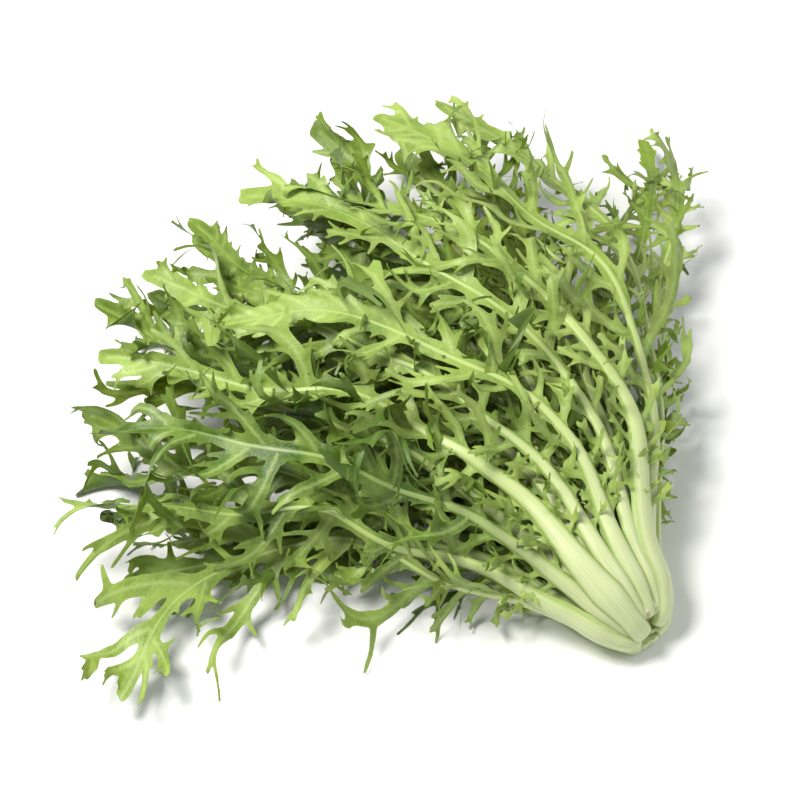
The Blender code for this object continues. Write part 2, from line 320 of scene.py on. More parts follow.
class Drawing:
    """A leaf's flat outline, as a sum of soft strokes: inside where the sum is over 1."""

    def __init__(self, half_width, length):
        self.low = np.array([-half_width, -18.0])
        size = np.array([2 * half_width, length + 36.0])
        self.shape = (size / CELL).astype(int) + 2
        self.total = np.zeros(self.shape)

    def axes(self, first, last):
        return [self.low[i] + CELL * np.arange(first[i], last[i]) for i in (0, 1)]

    def stroke(self, points, radii):
        """Adds a tapered line through points (n, 2) with a half width at each."""
        points, radii = np.asarray(points, float), np.asarray(radii, float)
        reach = radii.max() + FADE
        first = ((points.min(0) - reach - self.low) / CELL).astype(int).clip(0, self.shape)
        last = ((points.max(0) + reach - self.low) / CELL).astype(int).clip(0, self.shape)
        if (last <= first).any():
            return
        us, ss = self.axes(first, last)
        nearest_edge = np.full((len(us), len(ss)), 1e3)
        for a, b, ra, rb in zip(points, points[1:], radii, radii[1:]):
            run = b - a
            along = (us[:, None] - a[0]) * run[0] + (ss[None, :] - a[1]) * run[1]
            along = np.clip(along / max(run @ run, 1e-9), 0, 1)
            gap = np.hypot(us[:, None] - a[0] - along * run[0], ss[None, :] - a[1] - along * run[1])
            np.minimum(nearest_edge, gap - ra - along * (rb - ra), out=nearest_edge)
        window = self.total[first[0] : last[0], first[1] : last[1]]
        window += np.exp(-np.clip(nearest_edge, -12, 30) / BLEND)

    def depth(self, points):
        """How far inside the outline points are; negative outside."""
        at = (points - self.low) / CELL
        return grid_value(self.level, at[:, 0], at[:, 1])

    def finish(self, rng):
        """Turns the sum into a smooth distance, with a slightly uneven edge."""
        self.level = BLEND * np.log(self.total + 1e-6)
        us, ss = self.axes((0, 0), self.shape)
        a, b = rng.uniform(0, 6.3, 2)
        wobble = np.sin(us[:, None] / 1.9 + a + 2 * np.sin(ss / 3.7)) * np.sin(ss / 2.3 + b)
        self.level += 0.22 * wobble
        self.level[[0, -1]] = self.level[:, [0, -1]] = -9.0

    def outlines(self):
        """Closed outlines as arrays of points, inside on the left."""
        level = self.level
        inside = level > 0
        case = (
            inside[:-1, :-1] * 1
            + inside[1:, :-1] * 2
            + inside[1:, 1:] * 4
            + inside[:-1, 1:] * 8
        )
        count = level.shape[1]

        def across(i, j):  # the edge from (i, j) to (i + 1, j)
            return 2 * (i * count + j)

        def upward(i, j):  # the edge from (i, j) to (i, j + 1)
            return 2 * (i * count + j) + 1

        sides = (
            lambda i, j: across(i, j),
            lambda i, j: upward(i + 1, j),
            lambda i, j: across(i, j + 1),
            lambda i, j: upward(i, j),
        )
        steps = {
            1: [(3, 0)], 2: [(0, 1)], 3: [(3, 1)], 4: [(1, 2)], 5: [(3, 2), (1, 0)],
            6: [(0, 2)], 7: [(3, 2)], 8: [(2, 3)], 9: [(2, 0)], 10: [(0, 3), (2, 1)],
            11: [(2, 1)], 12: [(1, 3)], 13: [(1, 0)], 14: [(0, 3)],
        }
        follow = {}
        for kind, pairs in steps.items():
            i, j = np.nonzero(case == kind)
            for start, end in pairs:
                follow.update(zip(sides[end](i, j).tolist(), sides[start](i, j).tolist()))
        loops = []
        while follow:
            start, at = follow.popitem()
            loop = [start]
            while at != start and at in follow:
                loop.append(at)
                at = follow.pop(at)
            loops.append(np.array(loop))
        found = []
        for loop in loops:
            cell, up = loop // 2, loop % 2
            i, j = cell // count, cell % count
            here, there = level[i, j], level[i + 1 - up, j + up]
            share = here / (here - there)
            points = np.stack([i + share * (1 - up), j + share * up], 1) * CELL + self.low
            if len(points) > 16:
                found.append(points)
        return found


def thinned(points, tolerance, longest):
    """The outline with fewer points where it runs straight."""
    for _ in range(5):
        if len(points) < 16:
            break
        before, after = np.roll(points, 1, 0), np.roll(points, -1, 0)
        chord = after - before
        length = np.hypot(*chord.T)
        off = points - before
        bulge = np.abs(chord[:, 0] * off[:, 1] - chord[:, 1] * off[:, 0]) / (length + 1e-9)
        drop = (bulge < tolerance) & (length < longest)
        drop[::2] = False
        if not drop.any():
            break
        points = points[~drop]
    return points


# ---------------------------------------------------------------- leaf design, in mm

SIZES = {"heart": 0.35, "inner": 0.6, "middle": 0.8, "outer": 0.95, "skin": 1.0}
STATION = 2.0  # between the points of a leaf's path
HEEL = 32.0  # how far the path goes on behind the leaf's base
PAST = 40.0  # and beyond its tip
HEEL_BEND = 30.0  # radius on which the heel turns in under the cut
CLEAR = 2.4  # between neighbouring lobes in the flat
GRIP = 0.55  # how sharply a point belongs to its nearest lobe
LOBE_TRIES = 7  # shorter and shorter, before a lobe that has no room is given up
SHARP = math.radians(58)  # edges of a blade steeper than this are not smoothed
TABLE_KNEE = 1.6 * MM  # below this height points ease onto the table
WALL_KNEE = 2 * MM  # outside the head's box, where points start to be held back
SIDE_ROOM, TOP_ROOM = 14 * MM, 9 * MM  # how far past the knee points may get


def near_line(points, line):
    """Place along a line, signed offset to its left and distance, for each point."""
    best = np.full(len(points), 1e9)
    along, offset = np.zeros(len(points)), np.zeros(len(points))
    runs = np.diff(line, axis=0)
    lengths = np.hypot(*runs.T)
    starts = np.concatenate([[0], np.cumsum(lengths)])
    for i, (a, run, length) in enumerate(zip(line, runs, lengths)):
        way = run / length
        rel = points - a
        t = rel @ way
        held = np.clip(t, 0, length)
        w = rel[:, 1] * way[0] - rel[:, 0] * way[1]
        gap = np.hypot(t - held, w)
        free = held.copy()
        if i == 0:
            free = np.where(t < 0, t, free)
        if i == len(runs) - 1:
            free = np.where(t > length, t, free)
        closer = gap < best
        best[closer] = gap[closer]
        along[closer] = starts[i] + free[closer]
        offset[closer] = np.where(w < 0, -gap, gap)[closer]
    return along, offset, best


class Stroke:
    """A tapered line of the flat drawing."""

    def __init__(self, line, radii, headings):
        self.line, self.radii, self.headings = line, radii, headings
        runs = np.hypot(*np.diff(line, axis=0).T)
        self.walked = np.concatenate([[0], np.cumsum(runs)])
        self.length = self.walked[-1]

    def gap(self, points):
        along, _, distance = near_line(points, self.line)
        return distance - np.interp(along, self.walked, self.radii)

    def at(self, share):
        """Point, heading and radius at a share of the way."""
        t = share * self.length
        spot = np.array([np.interp(t, self.walked, self.line[:, i]) for i in (0, 1)])
        heading = np.interp(t, self.walked, self.headings)
        return spot, heading, np.interp(t, self.walked, self.radii)


def curve(start, heading, turn_by, length, radii):
    """A stroke whose heading (0 towards the leaf's tip) changes by turn_by."""
    count = len(radii)
    headings = heading + turn_by * np.linspace(0, 1, count) ** 1.2
    steps = length / (count - 1) * np.stack([np.sin(headings), np.cos(headings)], 1)
    line = np.vstack([[0, 0], np.cumsum(steps[:-1], axis=0)]) + start
    return Stroke(line, np.asarray(radii, float), headings)


class Lobe:
    """A stroke with teeth, and how it curls out of the flat."""

    def __init__(self, stem, teeth, clear, lift, bend, twist, tooth_bends):
        self.stem, self.teeth, self.tooth_bends = stem, teeth, tooth_bends
        lines = np.concatenate([part.line for part in [stem, *teeth]])
        self.low, self.high = lines.min(0) - 7, lines.max(0) + 7
        self.flat_rod = self.rod(0, 0, 0, 0)
        self.curled_rod = self.rod(clear, lift, bend, twist)

    def rod(self, clear, lift, bend, twist):
        """Points and frames (spot, left, up) along the curled lobe, rows of 9."""
        stem = self.stem
        free = np.clip((stem.walked - clear) / max(stem.length - clear, 1), 0, 1)
        raised = lift * ease(free, 0, 0.25)
        rows = []
        way = np.array([math.sin(stem.headings[0]), math.cos(stem.headings[0]), 0.0])
        up = np.array([0.0, 0.0, 1.0])
        spot = np.array([*stem.line[0], 0.0])
        for i in range(len(stem.line)):
            left = np.cross(up, way)
            rows.append(np.concatenate([spot, left, up, way]))
            if i == len(stem.line) - 1:
                break
            spot = spot + way * (stem.walked[i + 1] - stem.walked[i])
            change = free[i + 1] ** 1.5 - free[i] ** 1.5
            rise = raised[i + 1] - raised[i] + bend * change
            for axis, angle in (
                (up, stem.headings[i] - stem.headings[i + 1]),
                (left, -rise),
                (way, twist * change),
            ):
                way, up = turned(way, axis, angle), turned(up, axis, angle)
        return np.array(rows)

    def moved(self, points):
        """Displacement of flat points (m, 3) and how near they are to the lobe."""
        along, offset, gap = near_line(points, self.stem.line)
        gap = gap - np.interp(along, self.stem.walked, self.stem.radii)
        rise = np.zeros(len(points))
        lobe_gap = gap.copy()
        for tooth, tooth_bend in zip(self.teeth, self.tooth_bends):
            t, _, distance = near_line(points, tooth.line)
            distance = distance - np.interp(t, tooth.walked, tooth.radii)
            own = 1 / (1 + np.exp(np.clip((distance - lobe_gap) / GRIP, -30, 30)))
            t = np.clip(t - 1.5, 0, None)
            rise += own * tooth_bend * t**2 / tooth.length
            gap = np.minimum(gap, distance)
        ends = []
        for rod in (self.flat_rod, self.curled_rod):
            row = sampled(rod, self.stem.walked, along)
            over = np.clip(along - self.stem.length, 0, None) + np.clip(along, None, 0)
            ends.append(row[:, :3] + offset[:, None] * row[:, 3:6] + over[:, None] * row[:, 9:])
        up = sampled(self.curled_rod, self.stem.walked, along)[:, 6:9]
        return ends[1] - ends[0] + rise[:, None] * up, gap


def turned(vector, axis, angle):
    """The vector turned about a unit axis."""
    c = math.cos(angle)
    return vector * c + np.cross(axis, vector) * math.sin(angle) + axis * (axis @ vector) * (1 - c)


def sampled(table, marks, x):
    """Rows of a table, linear between its marks."""
    i = np.clip(np.searchsorted(marks, x) - 1, 0, len(marks) - 2)
    t = np.clip((x - marks[i]) / (marks[i + 1] - marks[i]), 0, 1)[:, None]
    return table[i] * (1 - t) + table[i + 1] * t


def waver(rng, x, pitch, size):
    """A slow, uneven wave."""
    a, b = rng.uniform(0, 6.3, 2)
    return size * (0.65 * np.sin(x * 6.28 / pitch + a) + 0.35 * np.sin(x * 6.28 * 1.73 / pitch + b))


class Blade:
    """One leaf: its flat drawing, how it curls, and its path through the head."""

    def __init__(self, head, leaf):
        self.leaf = leaf
        self.style = STYLES.get(leaf["name"], {})
        self.rng = rng = np.random.default_rng(self.style.get("seed", 1000 + leaf["number"]))
        self.length = leaf["length"] / MM * self.style.get("longer", 1.0)
        self.kind = leaf["name"].split("_")[0]
        self.size = SIZES[self.kind]
        tip = (leaf["tip_turn"] + 0.5) % 1 - 0.5
        self.frill = float(ease(tip, 0.085, 0.17)) + 0.35 * rng.uniform(-1, 1)
        self.frill = self.style.get("frill", min(1, max(0, self.frill)))
        crest = 0.6 * float(1 - ease(tip, 0.06, 0.12))
        broad = max(float(ease(-tip, 0.02, 0.12)), crest) * rng.uniform(0.4, 1)
        self.broad = self.style.get("broad", broad)
        # The leaf's tint: a random tone, drawn lower for the broad leaves on the -X side as painted
        # shade.
        lift = 0.35 * self.frill
        self.tint_and_shade = self.look("tint_and_shade", lift - 0.7 * self.broad, lift + 0.8 - 0.8 * self.broad)
        self.stations = np.arange(-HEEL, self.length + PAST, STATION)
        self.place_path(head)
        self.lobes = []
        self.taken = {-1: np.zeros((0, 3)), 1: np.zeros((0, 3))}
        self.draw()

    def look(self, name, low, high):
        """A size set for this leaf, or one drawn between two limits."""
        value = self.rng.uniform(low, high)
        return self.style.get(name, value)

    # ------------------------------------------------------------ path

    def place_path(self, head):
        """Spot, sideways, outwards and bend across at each station; mm."""
        leaf, s = self.leaf, self.stations
        inside = np.clip(s, 0, self.length)
        ring, turn, reach = leaf_path(leaf, inside * MM)
        self.girths = leaf["ring"] * head.perimeter(reach) / MM
        spot = head.place(ring, turn, reach) / MM
        ahead = np.gradient(spot, s, axis=0)
        ahead = smoothed(ahead, s, 0, self.length)
        ahead /= np.linalg.norm(ahead, axis=1, keepdims=True)
        step = 10.0 / self.girths
        sides = [head.place(ring, turn + k * step, reach) / MM for k in (-1, 0, 1)]
        out = head.place(ring + 0.05, turn, reach) / MM - spot
        across = smoothed(sides[2] - sides[0], s, 0, self.length)
        normal = np.cross(across, ahead)
        normal *= np.sign((normal * out).sum(1, keepdims=True))
        normal /= np.linalg.norm(normal, axis=1, keepdims=True)
        side = np.cross(ahead, normal)
        side /= np.linalg.norm(side, axis=1, keepdims=True)
        side *= np.sign((side * across).sum(1, keepdims=True))

        # Leaves at the head's two edges roll over until they lie face up.
        tip = (leaf["tip_turn"] + 0.5) % 1 - 0.5
        edge = ease(abs(tip), 0.15, 0.2) * (1 - ease(abs(tip), 0.31, 0.36))
        lay = self.style.get("lay", 0.75 * edge) * ease(s / self.length, 0.3, 0.65)[:, None]
        lean = np.unwrap(np.arctan2(side[:, 2], normal[:, 2]))[:, None] * lay
        side, normal = (
            side * np.cos(lean) - normal * np.sin(lean),
            normal * np.cos(lean) + side * np.sin(lean),
        )
        bow = sides[0] + sides[2] - 2 * sides[1]
        bend = -(bow * normal).sum(1) / (0.25 * ((sides[2] - sides[0]) ** 2).sum(1))
        bend = smoothed(bend[:, None], s, 0, self.length)[:, 0]
        bend = np.clip(bend, -1 / 90, 1 / (28 + 40 * self.size)) * (1 - 0.8 * lay[:, 0])

        # Past its ends the path goes straight on; the heel turns in towards the core.
        first, last = np.searchsorted(s, 0), np.searchsorted(s, self.length) - 1
        over = np.clip(s - s[last], 0, None)[:, None]
        spot = np.where(over > 0, spot[last] + over * ahead[last], spot)
        under = np.clip(s[first] - s, 0, None)[:, None]
        turn = np.minimum(under / HEEL_BEND, 1.5)
        straight = under - turn * HEEL_BEND
        back = HEEL_BEND * np.sin(turn) + straight * np.cos(turn)
        inward = HEEL_BEND * (1 - np.cos(turn)) + straight * np.sin(turn)
        spot = np.where(turn > 0, spot[first] - back * ahead[first] - inward * normal[first], spot)
        ahead, normal = (
            ahead * np.cos(turn) + normal * np.sin(turn),
            normal * np.cos(turn) - ahead * np.sin(turn),
        )
        self.path = np.hstack([spot, side, normal, bend[:, None], ahead])

    def girth(self, s):
        return np.interp(s, self.stations, self.girths)

    # ------------------------------------------------------------ drawing

    def stalk(self, s):
        """Share of the way along the leaf, and the stalk's fullness and taper."""
        taper = self.style.get("taper", 3.8 - 0.3 * self.frill)
        return np.clip(s / self.length, 0, 1), self.style.get("stalk", 1.0), taper

    def rib_half(self, s):
        """Half width of the stalk and of the raised rib that continues it."""
        share, full, taper = self.stalk(s)
        wanted = (1.2 + 7.8 * self.size * full * (1 - share) ** taper) * (1 - 0.5 * ease(share, 0.7, 1))
        over = 1.25 * full + self.style.get("over", 0)
        room = over * self.leaf["stalk_room"] * self.girth(s) + 0.3
        return np.minimum(wanted, np.maximum(room, 0.8))

    def rib_depth(self, s):
        share, full, taper = self.stalk(s)
        return (0.5 + (0.8 + 4.4 * self.size * full) * (1 - share) ** (taper - 0.4)) * (
            1 - 0.5 * ease(share, 0.8, 1)
        )

    def reach_at(self, s):
        """How far the lobes reach sideways at a distance along the leaf."""
        share = s / self.length
        swell = 0.32 + 0.73 * ease(share, 0.14, 0.45) * (1 - 0.45 * ease(share, 0.8, 1))
        most = 1.3 * self.leaf["lobe"] / MM * self.style.get("lobes", 1 + 0.2 * self.broad)
        return min(most * swell, 2.4 * self.leaf["blade_room"] * self.girth(s) + 8)

    def is_clear(self, stroke, side):
        """Whether a stroke keeps off the other lobes on its side of the leaf."""
        discs = np.column_stack([stroke.line, stroke.radii])
        discs = discs[side * discs[:, 0] > self.half(discs[:, 1]) + 2]
        others = self.taken[side]
        if not len(discs) or not len(others):
            return True
        gaps = np.hypot(*(discs[:, None, :2] - others[None, :, :2]).transpose(2, 0, 1))
        return (gaps - discs[:, None, 2] - others[None, :, 2]).min() > CLEAR

    def take(self, stroke, side):
        self.drawing.stroke(stroke.line, stroke.radii)
        discs = np.column_stack([stroke.line, stroke.radii])
        self.taken[side] = np.concatenate([self.taken[side], discs])

    def add_lobe(self, side, s, reach, width, forward=1.0):
        """A lobe with teeth or prongs, if there is room for it."""
        rng, broad = self.rng, self.broad
        half = float(self.rib_half(s))
        for attempt in range(LOBE_TRIES):
            first = math.radians(rng.uniform(48, 80) * forward)
            last = math.radians(rng.uniform(0, 54) * forward)
            length = max(reach * 0.88**attempt, half + 5) / math.sin(0.6 * first + 0.4 * last)
            t = np.linspace(0, 1, 10)
            neck = width * rng.uniform(0.6, 0.85)
            tip = rng.uniform(0.5, 1.0) * (1 - broad) + rng.uniform(0.45, 0.85) * neck * broad
            belly = rng.uniform(0, 0.5) * np.exp(-(((t - rng.uniform(0.5, 0.8)) / 0.16) ** 2))
            radii = neck * (1 + belly) + (width - neck) * (1 - t) ** 3
            radii = radii * (1 - ease(t, 0.6, 1.0)) + tip * ease(t, 0.6, 1.0)
            stem = curve(np.array([0.0, s]), side * first, side * (last - first), length, radii)
            if self.is_clear(stem, side):
                break
        else:
            return
        teeth, tooth_bends = [], []
        teeth_wanted = np.clip((length - half) / (8.0 + 2.0 * broad), 0.6, 5)
        count = int(round(teeth_wanted * rng.uniform(0.8, 1.2)))
        bare = (half + 2) / length
        turned_to = rng.choice([-1, 1])
        for n in range(count):
            share = bare + (1 - bare) * (n + rng.uniform(0.3, 0.9)) / (count + 0.3)
            spot, heading, radius = stem.at(min(share, 0.94))
            size = (3.0 + 0.25 * (length - half)) * rng.uniform(0.45, 1.15) * (1 - 0.3 * share)
            size *= 1 + 0.25 * broad
            angle = turned_to * math.radians(rng.uniform(30, 62))
            bow = -turned_to * math.radians(rng.uniform(-5, 40))
            base = min(radius * 0.75, 1.4 + broad)
            blunt = 0.36 + rng.uniform(0.3, 1.0) * broad
            tooth = curve(spot, heading + angle, bow, size + radius, np.linspace(base, blunt, 5))
            turned_to = -turned_to if rng.random() < 0.8 else turned_to
            end = tooth.line[-1]
            if side * end[0] > float(self.half(end[1])) + 3 and self.is_clear(tooth, side):
                teeth.append(tooth)
                tooth_bends.append(rng.normal(0.0, 0.55))
        for stroke in (stem, *teeth):
            self.take(stroke, side)
        free = (0.4 + 0.6 * self.size) * self.style.get("curl", 1 + 0.3 * broad)
        bend = rng.normal(0.4, 0.85) * free
        if rng.random() < 0.2:
            bend = rng.choice([-1, 1]) * rng.uniform(1.6, 3.2) * free
        twist = rng.normal(0, 1.1) * free
        bend *= min(1, length / 18)
        twist *= min(1, length / 18)
        low = float(1 - ease(s / self.length, 0.25, 0.55))
        lift = abs(rng.normal(0, 0.5)) * free * float(1 - ease(s / self.length, 0.35, 0.7))
        if self.kind == "skin":
            lift += low * rng.uniform(0.3, 0.7)
            bend *= 1 - 0.5 * low
        else:
            lift *= 1 - low
            bend *= 1 - 0.7 * low
        self.lobes.append(Lobe(stem, teeth, half + 1.5, lift, bend - lift, twist, tooth_bends))

    def draw(self):
        rng, length = self.rng, self.length
        widest = 1.2 * max(self.reach_at(s) for s in np.linspace(0.2, 1, 17) * length)
        self.drawing = Drawing(widest + 14, length)
        small = 0.55 + 0.45 * self.size
        terminal = self.look("terminal", 40, 65) * small * (1 - 0.35 * self.frill)
        end = 1 - terminal / length
        wing = self.look("wing", 3.6, 4.8) * small * (1 - 0.42 * self.frill) + 0.8 * self.broad
        tip = self.look("tip", 4.6, 6.6) * small * (1 - 0.5 * self.frill) + 0.9 * self.broad
        s = np.arange(self.look("heel", -10, -7), length - 1.5, 2.5)
        share = s / length
        half = np.maximum(self.rib_half(s) + 0.2, wing * ease(share, 0.26, 0.58))
        half = half + (tip - wing) * ease(share, end, end + 0.45 * (1 - end))
        half *= (1 - ease(share, 1 - 0.35 * (1 - end), 1.05)) ** 0.55
        half *= 1 + ease(share, 0.25, 0.4) * waver(rng, s, 34, 0.16)
        half = np.maximum(half, 0.8)
        self.axis = np.stack([np.zeros(len(s)), s], 1)
        self.drawing.stroke(self.axis, half)
        self.half = lambda at: np.interp(at, s, half)

        pitch = self.look("pitch", 12.5, 16) * (0.6 + 0.4 * self.size) * (1 - 0.2 * self.frill)
        for side in (-1, 1):
            at = length * rng.uniform(0.13, 0.17)
            low_end = length * rng.uniform(0.21, 0.25)
            while at < low_end:
                reach = float(self.rib_half(at)) + rng.uniform(4, 17) * self.size
                self.add_lobe(side, at, reach, rng.uniform(0.9, 1.3))
                at += rng.uniform(7, 13)
            while at < end * length:
                reach = self.reach_at(at + 6) * rng.uniform(0.55, 1.2)
                width = (1.3 + 0.045 * reach) * (1 - 0.38 * self.frill) + 0.9 * self.broad
                early = float(1 - ease(at / length, 0.35, 0.6))
                self.add_lobe(side, at, reach, width * rng.uniform(0.8, 1.2) * (1 - 0.2 * early))
                gap = pitch * rng.uniform(0.75, 1.35) * (1 + 0.1 * self.broad + 0.2 * early)
                if at > 0.3 * length and rng.random() < 0.7:
                    self.small_tooth(side, at + gap * rng.uniform(0.35, 0.65), rng.uniform(1.5, 5.5))
                at += gap
            while at < length - 9:
                left = (length - at) / terminal
                if rng.random() < 0.65 + 0.25 * self.broad:
                    reach = float(self.half(at)) + rng.uniform(7, 20) * left**0.5 * small
                    width = (2.0 + 1.3 * self.broad) * (1 - 0.4 * self.frill) * small
                    self.add_lobe(side, at - 7, reach, width, 0.72)
                else:
                    self.small_tooth(side, at, rng.uniform(1.5, 6) * small, 1.5)
                at += rng.uniform(8, 14) * small * (1 - 0.25 * self.frill)
        for angle in rng.uniform(-30, 30, 2):
            line = curve(
                np.array([0, length - 12.0]), math.radians(angle), 0,
                rng.uniform(10, 16), (2.0, 1.6, 1.1, 0.35),
            )
            self.drawing.stroke(line.line, line.radii)
        self.drawing.finish(rng)
        self.set_waves()

    def small_tooth(self, side, s, reach, width=1.15):
        rng = self.rng
        s = min(s, self.length - 6)
        length = (float(self.half(s)) + reach) / math.sin(math.radians(60))
        t = np.linspace(0, 1, 5)
        tooth = curve(
            np.array([0.0, s]), side * math.radians(rng.uniform(55, 80)),
            -side * math.radians(rng.uniform(0, 45)), length, width * (1 - t) + 0.28,
        )
        if self.is_clear(tooth, side):
            self.take(tooth, side)

    # ------------------------------------------------------------ curls

    def set_waves(self):
        """The leaf's slow turns, as tables along it."""
        rng, s = self.rng, self.stations
        share = s / self.length
        loose = ease(share, 0.22, 0.55) * (0.4 + 0.6 * self.size)
        tips = ease(share, 0.62, 1.05) * (0.4 + 0.6 * self.size)
        stray = self.style.get("stray", 1 + 0.9 * self.broad * (self.kind != "skin"))
        wander = loose * waver(rng, s, 200, 0.4 * stray)
        self.roll = wander + tips * self.look("tip_roll", -1.0 * stray, 1.0 * stray)
        folds = self.style.get("fold", rng.normal(0.2, 0.4, 2))
        self.folds = [loose * (fold + waver(rng, s, 90, 0.16)) for fold in folds]
        self.rise = loose * waver(rng, s, 120, 2.6 * stray) + tips * self.look("tip_rise", -8, 9)
        wander = loose * waver(rng, s, 150, 5.5 * stray)
        self.sway = wander + tips * self.look("tip_sway", -13 * stray, 13 * stray)
        if "sweep" in self.style:
            self.sway = self.sway + smooth_curve(*zip(*self.style["sweep"]), share)
        self.waves = rng.uniform(0, 6.3, 2)

    def bent(self, flat):
        """Flat points (u, s) to curled points (u, s, outwards)."""
        count = len(flat)
        rib_gap = np.abs(flat[:, 0]) - self.half(flat[:, 1])
        total = np.exp(-np.clip(rib_gap / GRIP, -12, 60))
        move = np.zeros((count, 3))
        for lobe in self.lobes:
            inside = ((flat > lobe.low) & (flat < lobe.high)).all(1)
            if not inside.any():
                continue
            shift, gap = lobe.moved(flat[inside])
            weight = np.exp(-np.clip(gap / GRIP, -12, 60))
            total[inside] += weight
            move[inside] += weight[:, None] * shift
        move /= total[:, None]
        u, s = flat.T + move[:, :2].T
        rise = move[:, 2]
        share = np.clip(flat[:, 1] / self.length, 0, 1.1)
        loose = ease(share, 0.25, 0.6) * self.size
        a, b = self.waves
        across = np.clip((np.abs(flat[:, 0]) - self.rib_half(flat[:, 1])) / 14, 0, 1.5)
        tight = 1.5 * np.sin(flat[:, 1] / 5.2 + a + np.sign(flat[:, 0]))
        wide = 1.1 * np.sin(flat[:, 1] / 11.0 + b)
        rise = rise + loose * across * (tight + wide)
        return u, s, rise

    def surface(self, flat):
        """Flat points in mm to points of the head, in mm."""
        u, s, rise = self.bent(flat)
        table = lambda values: np.interp(s, self.stations, values)
        side = ease(u, -2.0, 2.0)
        fold = table(self.folds[0]) * (1 - side) - table(self.folds[1]) * side
        edge = np.clip(np.abs(u) - self.rib_half(s), 0, None) * np.sign(u)
        angle = -table(self.roll)
        inner = u - edge
        u, rise = (
            inner + edge * np.cos(fold) + rise * np.sin(fold),
            rise * np.cos(fold) - edge * np.sin(fold),
        )
        u, rise = u * np.cos(angle) - rise * np.sin(angle), u * np.sin(angle) + rise * np.cos(angle)
        u, rise = u + table(self.sway), rise + table(self.rise)
        row = sampled(self.path, self.stations, s)
        bend = row[:, 9]
        bend = np.where(np.abs(bend) < 1e-5, 1e-5, bend)
        turn = np.clip(bend * u, -1.2, 1.2)
        over = u - turn / bend
        across = np.sin(turn) / bend + over * np.cos(turn)
        dip = (1 - np.cos(turn)) / bend + over * np.sin(turn)
        across = across + rise * np.sin(turn)
        out = rise * np.cos(turn) - dip
        return row[:, :3] + row[:, 3:6] * across[:, None] + row[:, 6:9] * out[:, None]

    # ------------------------------------------------------------ mesh

    def points(self):
        """The mesh's flat points: outline loops, rib columns, veins and an even fill."""
        drawing = self.drawing
        loops = [thinned(p, 0.08, 2.4) for p in drawing.outlines()]
        loops = [p for p in loops if len(p) > 8]
        step = 2.0 if self.size > 0.7 else 2.6
        chains = []
        s = np.arange(-13.0, self.length - 3, 3.0)
        half = self.rib_half(s)
        for share in (-1.0, -0.8, -0.45, 0.0, 0.45, 0.8, 1.0):
            least = {0.8: 2.4, 0.45: 1.2}.get(abs(share), 0)
            chains.append(np.stack([share * half, s + 0.6 * share**2], 1)[half > least])
        veins = []
        for lobe in self.lobes:
            stem = lobe.stem
            at = np.arange(3.0, stem.length - 0.5, 1.9)
            line = np.stack([np.interp(at, stem.walked, stem.line[:, i]) for i in (0, 1)], 1)
            veins.append(line[np.abs(line[:, 0]) > self.rib_half(line[:, 1]) + 0.8])
        fixed = []
        for chain in chains + veins:
            inside = drawing.depth(chain) > 0.35
            ends = np.nonzero(np.diff(np.concatenate([[False], inside, [False]]).astype(int)))[0]
            fixed += [chain[a:b] for a, b in ends.reshape(-1, 2)]
        veins = np.concatenate(veins) if veins else np.zeros((0, 2))

        low, high = drawing.low, drawing.low + CELL * np.array(drawing.shape)
        us = np.arange(low[0], high[0], step)
        ss = np.arange(low[1], high[1], step * 0.866)
        fill = np.stack(np.meshgrid(us, ss), -1)
        fill[1::2, :, 0] += step / 2
        fill = fill.reshape(-1, 2)
        fill = fill[drawing.depth(fill) > 0.7]
        fill = fill[np.abs(fill[:, 0]) > self.rib_half(fill[:, 1]) + 0.9]
        return loops, fixed, apart(fill, veins, 1.1)

    def triangles(self):
        loops, fixed, fill = self.points()
        points, edges = [], []
        for loop in loops:
            start = sum(map(len, points))
            index = np.arange(len(loop)) + start
            edges.append(np.stack([index, np.roll(index, -1)], 1))
            points.append(loop)
        for chain in fixed:
            index = np.arange(len(chain)) + sum(map(len, points))
            edges.append(np.stack([index[:-1], index[1:]], 1))
            points.append(chain)
        points = np.concatenate(points + [fill])
        edges = np.concatenate(edges)
        found = delaunay_2d_cdt([Vector(p) for p in points], edges.tolist(), [], 0, 1e-4, False)
        flat = np.array([tuple(p) for p in found[0]])
        faces = np.array([f for f in found[2] if len(f) == 3])
        faces = faces[self.drawing.depth(flat[faces].mean(1)) > 0]
        a, b, c = flat[faces[:, 0]], flat[faces[:, 1]], flat[faces[:, 2]]
        area = (b[:, 0] - a[:, 0]) * (c[:, 1] - a[:, 1]) - (b[:, 1] - a[:, 1]) * (c[:, 0] - a[:, 0])
        faces[area < 0] = faces[area < 0][:, ::-1]
        faces = faces[np.abs(area) > 1e-4]
        used = np.unique(faces)
        renumber = np.full(len(flat), -1)
        renumber[used] = np.arange(len(used))
        return flat[used], renumber[faces]

    def veins(self, flat):
        """Nearness to a lobe's middle vein, and the way that the grain runs: across and along."""
        near = np.maximum(np.abs(flat[:, 0]) - self.rib_half(flat[:, 1]) - 1.5, 0)
        found = np.full(len(flat), 9.0)
        grain = flat.copy()
        for lobe in self.lobes:
            inside = ((flat > lobe.low) & (flat < lobe.high)).all(1)
            along, offset, distance = near_line(flat[inside], lobe.stem.line)
            found[inside] = np.minimum(found[inside], distance)
            closer = np.zeros(len(flat), bool)
            closer[inside] = distance < near[inside]
            near[closer] = distance[closer[inside]]
            grain[closer] = np.stack([offset, along + lobe.stem.line[0, 1]], 1)[closer[inside]]
        return np.exp(-((found / 0.9) ** 2)), grain

    def build(self, shift, material, collection):
        flat, faces = self.triangles()
        u, s = flat.T
        middle = self.surface(flat)
        step = 0.25
        ahead = self.surface(flat + [0, step]) - middle
        aside = self.surface(flat + [step, 0]) - middle
        normal = np.cross(aside, ahead)
        normal /= np.linalg.norm(normal, axis=1, keepdims=True) + 1e-12
        row = sampled(self.path, self.stations, s)
        if np.median((np.cross(row[:, 3:6], row[:, 10:]) * row[:, 6:9]).sum(1)) < 0:
            normal, faces = -normal, faces[:, ::-1]

